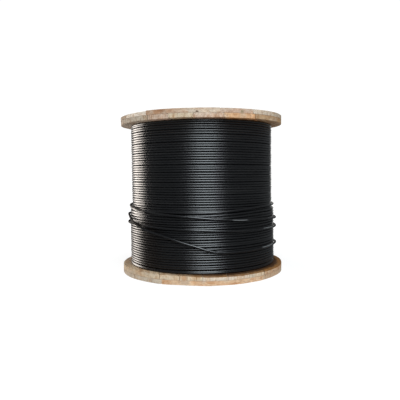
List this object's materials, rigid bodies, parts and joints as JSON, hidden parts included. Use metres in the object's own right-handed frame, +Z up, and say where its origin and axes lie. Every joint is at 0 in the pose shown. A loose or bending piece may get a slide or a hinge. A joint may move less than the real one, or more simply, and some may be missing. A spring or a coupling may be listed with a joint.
{
  "type": "drum of fiber optic cable",
  "caption": "Wooden cable drum with flanges of crossed boards and a spindle bore, wound full of black fiber optic cable whose last turns lie loose; it stands on one flange.",
  "frame": {"origin": "centre of the lower flange's outer face, on the floor that the drum stands on", "axes": "+Z up along the spindle bore, -Y towards the front of the picture, +X to its right"},
  "size_m": [0.75, 0.75, 0.716],
  "materials": {
    "board_timber": "rough sawn, weathered",
    "barrel_timber": "sawn",
    "cable_sheath": "smooth extruded, satin",
    "fastener_steel": "zinc plated, dull"
  },
  "bodies": {
    "root": {"barrel_stave_1": "barrel_timber", "barrel_stave_10": "barrel_timber", "barrel_stave_11": "barrel_timber", "barrel_stave_12": "barrel_timber", "barrel_stave_2": "barrel_timber", "barrel_stave_3": "barrel_timber", "barrel_stave_4": "barrel_timber", "barrel_stave_5": "barrel_timber", "barrel_stave_6": "barrel_timber", "barrel_stave_7": "barrel_timber", "barrel_stave_8": "barrel_timber", "barrel_stave_9": "barrel_timber", "cable_winding": "cable_sheath", "loose_turns": "cable_sheath", "lower_inner_board_1": "board_timber", "lower_inner_board_2": "board_timber", "lower_inner_board_3": "board_timber", "lower_inner_board_4": "board_timber", "lower_inner_board_5": "board_timber", "lower_inner_board_6": "board_timber", "lower_inner_board_7": "board_timber", "lower_outer_board_1": "board_timber", "lower_outer_board_2": "board_timber", "lower_outer_board_3": "board_timber", "lower_outer_board_4": "board_timber", "lower_outer_board_5": "board_timber", "lower_outer_board_6": "board_timber", "lower_outer_board_7": "board_timber", "lower_washers": "fastener_steel", "tie_bolt_1": "fastener_steel", "tie_bolt_2": "fastener_steel", "tie_bolt_3": "fastener_steel", "tie_bolt_4": "fastener_steel", "tie_bolt_nuts": "fastener_steel", "upper_inner_board_1": "board_timber", "upper_inner_board_2": "board_timber", "upper_inner_board_3": "board_timber", "upper_inner_board_4": "board_timber", "upper_inner_board_5": "board_timber", "upper_inner_board_6": "board_timber", "upper_inner_board_7": "board_timber", "upper_inner_board_8": "board_timber", "upper_outer_board_1": "board_timber", "upper_outer_board_2": "board_timber", "upper_outer_board_3": "board_timber", "upper_outer_board_4": "board_timber", "upper_outer_board_5": "board_timber", "upper_outer_board_6": "board_timber", "upper_outer_board_7": "board_timber", "upper_outer_board_8": "board_timber", "upper_washers": "fastener_steel"}
  },
  "joints": []
}
